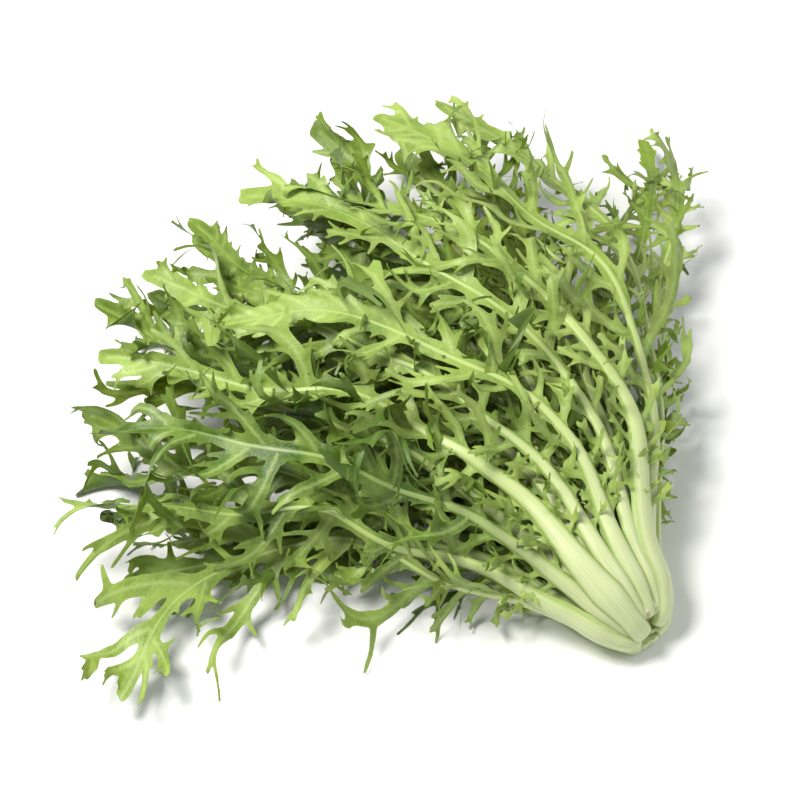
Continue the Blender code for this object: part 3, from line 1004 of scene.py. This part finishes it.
        depth = self.drawing.depth(flat)
        half = self.rib_half(s)
        across = np.clip(np.abs(u) / half, 0, 1)
        heel = np.clip((self.axis[0, 1] + 1 - s) / (half + 1.5), 0, 1)
        crown = (1 - across**2.2) ** 0.6 * np.sqrt(1 - heel**2)
        rib = self.rib_depth(s)
        vein, grain = self.veins(flat)
        vein = vein * ease(np.abs(u) - half, -0.5, 1.5)
        share = s / self.length
        thin = 0.10 + 0.14 * np.clip(depth / 1.5, 0, 1)
        low = 1 - ease(share, 0.15, 0.5)
        level = -(0.5 + 0.3 * low) * rib + self.style.get("stalk_rise", -1.2) * low
        outer = level + thin + (0.55 + 0.3 * low) * rib * crown + 0.12 * vein * self.size
        channel = 0.3 * rib * np.exp(-((u / (0.55 * half)) ** 2)) * (1 - ease(share, 0.3, 0.7))
        inner = level - thin - (0.42 * rib - channel) * crown
        top = middle + normal * outer[:, None]
        under = middle + normal * inner[:, None]
        points = kept_in(np.concatenate([top, under]) * MM + shift)

        count = len(flat)
        edge_of = {pair for a, b, c in faces.tolist() for pair in ((a, b), (b, c), (c, a))}
        rim = np.array(sorted(pair for pair in edge_of if (pair[1], pair[0]) not in edge_of))
        walls = np.concatenate(
            [
                np.stack([rim[:, 1], rim[:, 0], rim[:, 0] + count], 1),
                np.stack([rim[:, 1], rim[:, 0] + count, rim[:, 1] + count], 1),
            ]
        )
        faces = np.concatenate([faces, faces[:, ::-1] + count, walls])
        name = self.leaf["name"] + "_blade"
        mesh = bpy.data.meshes.new(name)
        mesh.vertices.add(len(points))
        mesh.vertices.foreach_set("co", points.ravel())
        mesh.loops.add(3 * len(faces))
        mesh.polygons.add(len(faces))
        mesh.loops.foreach_set("vertex_index", faces.ravel())
        mesh.polygons.foreach_set("loop_start", np.arange(0, 3 * len(faces), 3))
        mesh.update(calc_edges=True)
        mesh.validate()
        mesh.shade_smooth()
        mesh.set_sharp_from_angle(angle=SHARP)

        twice = lambda v: np.concatenate([v, v])
        zeros, ones = np.zeros(count), np.ones(count)
        values = dict(
            leaf_share=twice(np.clip(share, 0, 1)),
            leaf_rib=twice(np.sqrt(1 - np.clip(np.abs(u) / np.maximum(half, 0.9), 0, 1) ** 2)),
            leaf_vein=twice(vein),
            leaf_edge=twice(1 - np.clip(depth / 2.2, 0, 1)),
            leaf_inside=np.concatenate([zeros, ones]),
            leaf_tint=np.full(2 * count, self.tint_and_shade),
        )
        for key, value in values.items():
            layer = mesh.attributes.new(key, "FLOAT", "POINT")
            layer.data.foreach_set("value", value.astype(np.float32))
        for key, (x, y) in (("leaf_flat", (u, s)), ("leaf_grain", grain.T)):
            lie = np.stack([twice(x), twice(y), np.concatenate([zeros, ones])], 1)
            layer = mesh.attributes.new(key, "FLOAT_VECTOR", "POINT")
            layer.data.foreach_set("vector", (lie * MM).astype(np.float32).ravel())
        add_uv(mesh, flat)
        mesh.materials.append(material)
        piece = bpy.data.objects.new(name, mesh)
        collection.objects.link(piece)
        return piece


def smoothed(rows, s, low, high):
    """Rows averaged over 18 mm along the leaf, held at its ends."""
    held = np.clip(np.arange(len(s)), np.searchsorted(s, low + 2), np.searchsorted(s, high - 4))
    rows = rows[held]
    width = 4
    padded = np.concatenate([rows[:1].repeat(width, 0), rows, rows[-1:].repeat(width, 0)])
    return np.mean([padded[k : k + len(rows)] for k in range(2 * width + 1)], axis=0)


def apart(points, others, least):
    """The points that are not too close to any of the others."""
    if not len(others):
        return points
    cells = {}
    for n, key in enumerate(map(tuple, np.floor(others / 2.0).astype(int))):
        cells.setdefault(key, []).append(n)
    keep = np.ones(len(points), bool)
    for n, (a, b) in enumerate(np.floor(points / 2.0).astype(int)):
        near = [m for i in (-1, 0, 1) for j in (-1, 0, 1) for m in cells.get((a + i, b + j), ())]
        if near and np.hypot(*(others[near] - points[n]).T).min() < least:
            keep[n] = False
    return points[keep]


def kept_in(points):
    """Low points flatten softly onto the table; far ones ease off near the head's box."""
    z = points[:, 2]
    low = TABLE_KNEE * np.exp(np.minimum(z - TABLE_KNEE, 0) / TABLE_KNEE)
    points[:, 2] = np.where(z > TABLE_KNEE, z, low)
    for axis in range(3):
        for way, wall in ((-1, -cad_bounds[0][axis]), (1, cad_bounds[1][axis])):
            if axis == 2 and way == -1:
                continue
            knee, room = wall + WALL_KNEE, SIDE_ROOM if axis < 2 else TOP_ROOM
            far = np.clip(points[:, axis] * way - knee, 0, None)
            points[:, axis] -= way * (far - room * (1 - np.exp(-far / room)))
    return points


def add_uv(mesh, flat):
    """Both faces side by side in one unit square, for the bake."""
    low, high = flat.min(0) - 1, flat.max(0) + 1
    width, height = high - low
    size = max(2 * width, height)
    top = (flat - low) / size
    under = top + np.array([width / size, 0])
    places = np.concatenate([top, under]).astype(np.float32)
    corners = np.empty(len(mesh.loops), np.int32)
    mesh.loops.foreach_get("vertex_index", corners)
    layer = mesh.uv_layers.new(name="OFBake")
    layer.uv.foreach_set("vector", places[corners].ravel())


# Leaves with a look of their own. Shares: frill (fine, frizzy lobes), broad (wide, blunt lobes),
# lay (how far an edge leaf turns face up), stray (how far it wanders). Factors: stalk, over, lobes,
# curl, longer. In mm: terminal (end lobe), tip and wing (half widths), pitch, heel, tip_rise,
# tip_sway, stalk_rise, and sweep as (share along the leaf, sideways). fold and tip_roll are angles
# in radians, tint runs from dark to fresh, and seed picks other random values. The tint is partly
# the leaf's own tone and partly painted shade and painted light: dark for the broad leaves on the
# -X side, fresh for the lit skin leaves on top.
STYLES = {
    "middle_leaf_01": dict(longer=1.1, broad=0.5, frill=0),
    "middle_leaf_03": dict(longer=1.1),
    "middle_leaf_04": dict(longer=1.12, tip_sway=8),
    "middle_leaf_06": dict(longer=1.08, lobes=1.25, frill=0),
    "middle_leaf_08": dict(longer=1.08, lobes=1.25, frill=0, broad=0.4),
    "middle_leaf_09": dict(longer=1.08, lobes=1.25, frill=0, broad=0.5),
    "middle_leaf_10": dict(longer=1.08),
    "middle_leaf_12": dict(longer=1.06),
    "middle_leaf_14": dict(longer=1.1, tip_sway=20, lobes=1.25, frill=0, broad=0.5),
    "outer_leaf_01": dict(longer=1.1, lobes=1.25, frill=0, broad=0.5, tip_sway=-6),
    "outer_leaf_02": dict(longer=1.06),
    "outer_leaf_07": dict(longer=1.03, tip_sway=14, lobes=1.25, frill=0, broad=0.6, tint_and_shade=0.0),
    "outer_leaf_03": dict(sweep=((0, 0), (0.4, 0), (0.7, -6), (1, -22))),
    "middle_leaf_11": dict(sweep=((0, 0), (0.4, 0), (0.7, -8), (1, -26))),
    "skin_leaf_02": dict(
        tint_and_shade=0.2, lay=0.0, broad=0.8, lobes=1.4, sweep=((0, 0), (0.4, 4), (0.7, 26), (1, 50)),
    ),
    "skin_leaf_03": dict(
        seed=4, stalk=1.1, broad=0.6, frill=0.0, terminal=30, tip=3.2, lobes=1.4, curl=0.7, tint_and_shade=0.3,
        lay=0.95, wing=3.6, sweep=((0, 0), (0.35, 10), (0.6, 28), (0.78, 26), (1, -6)), tip_sway=0,
        tip_roll=0.0, tip_rise=0, pitch=10.0, stray=0.35, fold=(0.1, 0.1), longer=0.95,
    ),
    "skin_leaf_04": dict(
        stalk=1.15, taper=3.4, over=0.3, broad=0.7, frill=0.0, tint_and_shade=0.0, stalk_rise=2.4, lobes=1.2,
        heel=-16,
    ),
    "skin_leaf_05": dict(stalk=0.95, broad=0.9, frill=0.0, tint_and_shade=-0.6, lobes=1.3, heel=-9),
    "skin_leaf_06": dict(
        stalk=1.3, taper=3.1, over=0.3, broad=0.45, frill=0.0, tint_and_shade=0.7, stalk_rise=3.4, heel=-19,
    ),
    "skin_leaf_07": dict(stalk=0.95, broad=0.5, frill=0.1, tint_and_shade=0.4, curl=1.2),
    "skin_leaf_08": dict(
        stalk=1.1, taper=3.6, broad=0.45, frill=0.0, terminal=95, tip=8.5, lobes=0.95, tint_and_shade=0.9,
        tip_roll=0.15, fold=(0.1, 0.2), tip_rise=1, tip_sway=0, pitch=18, stray=0.4, curl=0.7,
        longer=0.94, sweep=((0, 0), (0.5, 0), (0.75, -8), (1, -22)),
    ),
    "skin_leaf_09": dict(
        stalk=1.0, taper=3.8, broad=0.35, frill=0.0, terminal=90, tip=8.0, tint_and_shade=0.85,
        tip_roll=-0.2, fold=(0.15, 0.55), tip_sway=0, pitch=17, stray=0.5, curl=0.8, heel=-8,
    ),
    "skin_leaf_10": dict(
        stalk=1.45, taper=3.0, over=0.5, broad=0.1, frill=0.15, lobes=0.9, tint_and_shade=0.8,
        stalk_rise=2.6, stray=0.7, heel=-13,
    ),
    "skin_leaf_11": dict(
        stalk=1.2, taper=3.2, broad=0.4, frill=0.0, terminal=85, tip=8.0, wing=5.5, tint_and_shade=0.8,
        tip_roll=0.1, fold=(0.1, 0.1), tip_sway=0, pitch=17, stray=0.5, curl=0.7,
    ),
    "skin_leaf_12": dict(
        stalk=1.3, taper=3.3, over=0.4, broad=0.2, frill=0.15, terminal=80, tip=6.5, wing=4.6,
        tint_and_shade=0.75, tip_roll=0.2, tip_sway=0, stray=0.6, stalk_rise=2.0, heel=-13,
    ),
    "skin_leaf_13": dict(
        stalk=1.1, frill=0.8, tint_and_shade=0.6, tip_sway=0, lobes=0.8,
        sweep=((0, 0), (0.3, 0), (0.55, -8), (0.8, -14), (1, -8)),
    ),
    "skin_leaf_14": dict(stalk=1.0, frill=1.0, tint_and_shade=0.5),
}


# ---------------------------------------------------------------- materials


class Nodes:
    """Small helper that wires a Principled material."""

    def __init__(self, name):
        self.material = bpy.data.materials.new(name)
        self.material.use_nodes = True
        self.tree = self.material.node_tree
        self.shader = self.tree.nodes["Principled BSDF"]

    def link(self, value, socket):
        if isinstance(value, bpy.types.NodeSocket):
            self.tree.links.new(value, socket)
        elif value is not None:
            socket.default_value = value

    def attribute(self, name, output="Fac"):
        node = self.tree.nodes.new("ShaderNodeAttribute")
        node.attribute_name = name
        return node.outputs[output]

    def math(self, operation, a, b=None, c=None, clamp=False):
        node = self.tree.nodes.new("ShaderNodeMath")
        node.operation = operation
        node.use_clamp = clamp
        for value, socket in zip((a, b, c), node.inputs):
            self.link(value, socket)
        return node.outputs[0]

    def ramp(self, value, low, high, to_low=0.0, to_high=1.0):
        node = self.tree.nodes.new("ShaderNodeMapRange")
        node.interpolation_type = "SMOOTHSTEP"
        for socket, entry in zip(node.inputs, (value, low, high, to_low, to_high)):
            self.link(entry, socket)
        return node.outputs[0]

    def mix(self, factor, a, b, blend="MIX"):
        node = self.tree.nodes.new("ShaderNodeMix")
        node.data_type = "RGBA"
        node.blend_type = blend
        self.link(factor, node.inputs["Factor"])
        for value, key in ((a, 6), (b, 7)):
            self.link((*value, 1) if isinstance(value, tuple) else value, node.inputs[key])
        return node.outputs[2]

    def noise(self, place, scale, detail=2.0, rough=0.5, stretch=None):
        if stretch is not None:
            scaling = self.tree.nodes.new("ShaderNodeVectorMath")
            scaling.operation = "MULTIPLY"
            self.link(place, scaling.inputs[0])
            scaling.inputs[1].default_value = stretch
            place = scaling.outputs[0]
        node = self.tree.nodes.new("ShaderNodeTexNoise")
        self.link(place, node.inputs["Vector"])
        node.inputs["Scale"].default_value = scale
        node.inputs["Detail"].default_value = detail
        node.inputs["Roughness"].default_value = rough
        return node.outputs["Fac"]

    def cells(self, place, scale):
        node = self.tree.nodes.new("ShaderNodeTexVoronoi")
        node.feature = "DISTANCE_TO_EDGE"
        self.link(place, node.inputs["Vector"])
        node.inputs["Scale"].default_value = scale
        return node.outputs["Distance"]

    def bump(self, height, distance, strength, normal=None):
        node = self.tree.nodes.new("ShaderNodeBump")
        node.inputs["Distance"].default_value = distance
        node.inputs["Strength"].default_value = strength
        self.link(height, node.inputs["Height"])
        if normal is not None:
            self.link(normal, node.inputs["Normal"])
        return node.outputs[0]


def linear(red, green, blue):
    """A colour as seen on a screen, 0 to 255, as linear light."""
    return tuple(
        (v / 12.92 if v <= 0.04045 else ((v + 0.055) / 1.055) ** 2.4)
        for v in (red / 255, green / 255, blue / 255)
    )


PALE, WHITE, RIB = (214, 222, 172), (226, 230, 190), (191, 211, 132)
# For each ring: deep and fresh green, rib, stalk base, and the share of the leaf where that ends.
# The middle and outer rings are set darker than the skin as painted shade, so the gaps between the
# skin leaves read dark green.
PALETTE = {
    "heart": ((168, 182, 66), (200, 208, 104), (216, 222, 146), WHITE, 0.5),
    "inner": ((110, 134, 44), (160, 178, 74), (196, 208, 122), WHITE, 0.42),
    "middle": ((50, 78, 18), (118, 146, 52), (160, 180, 90), WHITE, 0.28),
    "outer": ((52, 82, 20), (120, 149, 56), (168, 187, 102), PALE, 0.26),
    "skin": ((60, 92, 22), (147, 174, 80), RIB, PALE, 0.24),
}


def leaf_material(name, deep, fresh, rib, pale, base_end):
    """deep and fresh: the blade's range; rib: ribs in the blade; pale: the stalk's base."""
    n = Nodes(name)
    place = n.attribute("leaf_flat", "Vector")
    grain = n.attribute("leaf_grain", "Vector")
    share = n.attribute("leaf_share")
    ribbed = n.attribute("leaf_rib")
    vein = n.attribute("leaf_vein")
    edge = n.attribute("leaf_edge")
    inside = n.attribute("leaf_inside")
    tint_and_shade = n.attribute("leaf_tint")

    cloud = n.noise(place, 38.0, 3.0, 0.6)
    fine = n.noise(place, 420.0, 3.0, 0.6)
    streak = n.noise(grain, 1.0, 4.0, 0.65, (950.0, 26.0, 1.0))
    network = n.cells(place, 430.0)
    # The leaf's tint darkens or freshens the whole blade. It is partly its own tone, partly painted
    # shade on the -X side and painted light on the lit skin leaves.
    tone = n.math("ADD", n.ramp(cloud, 0.32, 0.68, 0.0, 0.7), n.math("MULTIPLY", tint_and_shade, 0.45))
    tone = n.math("ADD", tone, n.math("MULTIPLY", streak, 0.3))
    tone = n.math("ADD", tone, n.math("MULTIPLY_ADD", fine, 0.16, -0.1), clamp=True)
    blade = n.mix(tone, deep, fresh)
    threads = n.ramp(network, 0.02, 0.12, 1.0, 0.0)
    lines = n.math("MULTIPLY", threads, n.ramp(tint_and_shade, -0.6, 0.6, 0.04, 0.13))
    blade = n.mix(lines, blade, rib)
    blade = n.mix(n.math("MULTIPLY", vein, 0.42), blade, rib)
    blade = n.mix(n.math("MULTIPLY", edge, 0.18), blade, fresh)
    # Painted shade, in part: the inner face, turned towards the heart of the head, is mixed towards deep
    # green. This is partly the leaf's own darker upper side and partly painted shade.
    blade = n.mix(n.math("MULTIPLY", inside, 0.65), blade, deep)

    stalk_tone = n.ramp(share, 0.02, 0.55, 0.0, 1.0)
    stalk = n.mix(stalk_tone, pale, rib)
    stalk = n.mix(n.ramp(streak, 0.35, 0.75, 0.0, 0.35), stalk, fresh)
    on_rib = n.math("MULTIPLY", n.ramp(ribbed, 0.15, 0.85), n.ramp(share, 0.5, 0.95, 0.95, 0.35))
    on_rib = n.math("MULTIPLY", on_rib, n.ramp(tint_and_shade, -0.6, 0.5, 0.6, 1.0))
    colour = n.mix(on_rib, blade, stalk)
    whitened = n.ramp(share, 0.02, base_end, 0.92, 0.0)
    colour = n.mix(whitened, colour, stalk)
    # Painted shade: the sides of each stalk near the base turn towards fresh green, standing in for the
    # shade in the grooves between neighbouring stalks.
    groove_shade = n.math("MULTIPLY", n.ramp(ribbed, 0.25, 0.8, 0.75, 0.0), n.ramp(share, 0.15, 0.4, 1.0, 0.0))
    groove_shade = n.math("MULTIPLY", groove_shade, n.ramp(share, 0.0, 0.12, 0.6, 1.0))
    colour = n.mix(groove_shade, colour, fresh)
    n.link(colour, n.shader.inputs["Base Color"])

    rough = n.math("ADD", n.math("MULTIPLY", fine, 0.16), n.ramp(on_rib, 0, 1, 0.36, 0.28))
    n.link(rough, n.shader.inputs["Roughness"])
    along = n.bump(streak, 0.0006, 0.35)
    thin = n.math("MULTIPLY", n.ramp(on_rib, 0.0, 0.5, 1.0, 0.0), n.ramp(share, 0.12, 0.3))
    puckers = n.math("MULTIPLY", n.ramp(network, 0.0, 0.2, 0.0, 0.35), thin)
    lumps = n.math("ADD", n.math("MULTIPLY", cloud, 0.8), puckers)
    normal = n.bump(lumps, 0.0008, 0.32, along)
    n.link(normal, n.shader.inputs["Normal"])
    n.shader.inputs["Specular IOR Level"].default_value = 0.42
    n.shader.inputs["Subsurface Weight"].default_value = 0.18
    n.shader.inputs["Subsurface Radius"].default_value = (0.9, 1.0, 0.25)
    n.shader.inputs["Subsurface Scale"].default_value = 0.004
    return n.material


def stem_material():
    n = Nodes("stem_flesh")
    coords = n.tree.nodes.new("ShaderNodeTexCoord").outputs["Object"]
    cloud = n.noise(coords, 90.0, 4.0, 0.6)
    fine = n.noise(coords, 900.0, 3.0, 0.6)
    colour = n.mix(n.ramp(cloud, 0.35, 0.7), linear(226, 228, 188), linear(196, 196, 138))
    cut = n.attribute("stem_cut")
    browned = n.mix(n.ramp(cloud, 0.3, 0.65), linear(200, 184, 128), linear(222, 220, 176))
    colour = n.mix(cut, colour, browned)
    n.link(colour, n.shader.inputs["Base Color"])
    n.link(n.math("MULTIPLY_ADD", fine, 0.2, 0.42), n.shader.inputs["Roughness"])
    n.link(n.bump(fine, 0.0008, 0.4), n.shader.inputs["Normal"])
    n.shader.inputs["Subsurface Weight"].default_value = 0.2
    n.shader.inputs["Subsurface Radius"].default_value = (0.8, 0.9, 0.4)
    n.shader.inputs["Subsurface Scale"].default_value = 0.004
    return n.material


# ---------------------------------------------------------------- the stem


def build_stem(head, shift, material, collection):
    """The short core: a lumpy cone with a slightly hollow cut face."""
    sides, rows, cap_rows = 96, 40, 12
    turns = np.arange(sides) / sides
    points, cut = [], []
    for k in range(cap_rows, 0, -1):
        share = 1 - k / cap_rows * 0.985
        ring = stem_ring(0.0) * share * (1 + 0.01 * np.sin(2 * math.pi * 7 * turns))
        hollow = 3.0 * MM * (1 - share**2) * ease(share, 1.0, 0.6)
        grain = 0.12 * MM * np.sin(2 * math.pi * 11 * turns + 9 * share) * ease(share, 0.1, 0.5)
        points.append(head.place(ring, turns, 0 * turns) + [0, hollow, 0] + np.outer(grain, [0, 1, 0]))
        cut.append(np.ones(sides))
    for reach in np.linspace(0, 0.985, rows) ** 1.15 * STEM_LENGTH:
        lump = 1 - 0.012 * (1 + np.sin(2 * math.pi * 15 * turns + 60 * reach)) - 0.004
        points.append(head.place(stem_ring(reach) * lump, turns, reach + 0 * turns))
        cut.append(np.full(sides, float(reach < 0.6 * MM)))
    grid = np.arange(len(points) * sides).reshape(-1, sides)
    faces = []
    for a, b in zip(grid, grid[1:]):
        faces += np.stack([a, np.roll(a, -1), np.roll(b, -1), b], 1).tolist()
    faces.append(grid[0][::-1].tolist())
    faces.append(grid[-1].tolist())
    verts = kept_in(np.concatenate(points) + shift)
    mesh = bpy.data.meshes.new("stem_core")
    mesh.from_pydata(verts.tolist(), [], faces)
    mesh.shade_smooth()
    mesh.set_sharp_from_angle(angle=math.radians(50))
    mesh.attributes.new("stem_cut", "FLOAT", "POINT").data.foreach_set(
        "value", np.concatenate(cut).astype(np.float32)
    )
    mesh.materials.append(material)
    piece = bpy.data.objects.new("stem_core", mesh)
    collection.objects.link(piece)
    return piece


# ---------------------------------------------------------------- stage


# Name, place and width in metres, watts, colour.
LIGHTS = (
    ("key", (-0.55, 0.5, 1.5), 0.7, 35, (1, 0.98, 0.94)),
    ("fill", (0.8, -0.9, 1.2), 1.2, 7, (1, 1, 1)),
)


def area_light(name, place, target, size, power, colour):
    data = bpy.data.lights.new(name, "AREA")
    data.shape = "DISK"
    data.size = size
    data.energy = power
    data.color = colour
    light = bpy.data.objects.new(name, data)
    bpy.context.scene.collection.objects.link(light)
    light.location = place
    light.rotation_euler = (Vector(target) - Vector(place)).to_track_quat("-Z", "Y").to_euler()


def build_stage():
    bpy.ops.mesh.primitive_plane_add(size=8, location=(0, 0, -0.0004))
    floor = bpy.context.object
    floor.name = "floor"
    material = bpy.data.materials.new("floor_white")
    material.use_nodes = True
    shader = material.node_tree.nodes["Principled BSDF"]
    shader.inputs["Base Color"].default_value = (0.94, 0.94, 0.94, 1)
    shader.inputs["Roughness"].default_value = 0.8
    floor.data.materials.append(material)
    bpy.context.scene.view_settings.view_transform = "Standard"
    world = bpy.data.worlds.new("studio")
    bpy.context.scene.world = world
    world.use_nodes = True
    background = world.node_tree.nodes["Background"]
    background.inputs["Color"].default_value = (0.95, 0.98, 1.0, 1)
    background.inputs["Strength"].default_value = 0.28
    for name, place, size, power, colour in LIGHTS:
        area_light(name, place, (0, 0, 0), size, power, colour)


AZIMUTH, ELEVATION = math.radians(-40), math.radians(55)
DISTANCE = 2.4
FRAME_WIDTH = 465 * MM
BUTT_OFFSET = np.array([142, -130]) * MM  # the stem's place in the frame, from its middle


def build_camera():
    low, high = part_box("stem")
    butt = np.array([(low[0] + high[0]) / 2, low[1], (low[2] + high[2]) / 2])
    right = np.array([math.cos(AZIMUTH), math.sin(AZIMUTH), 0])
    ahead = np.array([-math.sin(AZIMUTH), math.cos(AZIMUTH), 0])
    up = ahead * math.sin(ELEVATION) + np.array([0, 0, math.cos(ELEVATION)])
    out = -ahead * math.cos(ELEVATION) + np.array([0, 0, math.sin(ELEVATION)])
    target = butt - right * BUTT_OFFSET[0] - up * BUTT_OFFSET[1]
    data = bpy.data.cameras.new("camera")
    data.sensor_width = 36
    data.lens = 36 * DISTANCE / FRAME_WIDTH
    camera = bpy.data.objects.new("camera", data)
    bpy.context.scene.collection.objects.link(camera)
    camera.location = target + out * DISTANCE
    camera.rotation_euler = Vector(-out).to_track_quat("-Z", "Y").to_euler()
    bpy.context.scene.camera = camera


# ---------------------------------------------------------------- build


def main():
    collection = bpy.data.collections.new("curly_endive_looks")
    bpy.context.scene.collection.children.link(collection)
    head = Head()
    sections = [
        head.place(stem_ring(reach), np.arange(STEM_SIDES) / STEM_SIDES, reach)
        for reach in np.linspace(0, 0.97, STEM_RINGS) * STEM_LENGTH
    ]
    shift = np.array(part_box("stem")[0]) - np.concatenate(sections).min(axis=0)

    materials = {
        kind: leaf_material(kind + "_green", *(linear(*colour) for colour in colours), base_end)
        for kind, (*colours, base_end) in PALETTE.items()
    }
    stem = build_stem(head, shift, stem_material(), collection)
    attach(stem, "root")
    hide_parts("stem")
    for leaf in leaf_plan():
        kind = leaf["name"].split("_")[0]
        piece = Blade(head, leaf).build(shift, materials[kind], collection)
        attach(piece, "root")
        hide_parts(leaf["name"])
    build_stage()
    build_camera()


main()
bpy.context.view_layer.update()
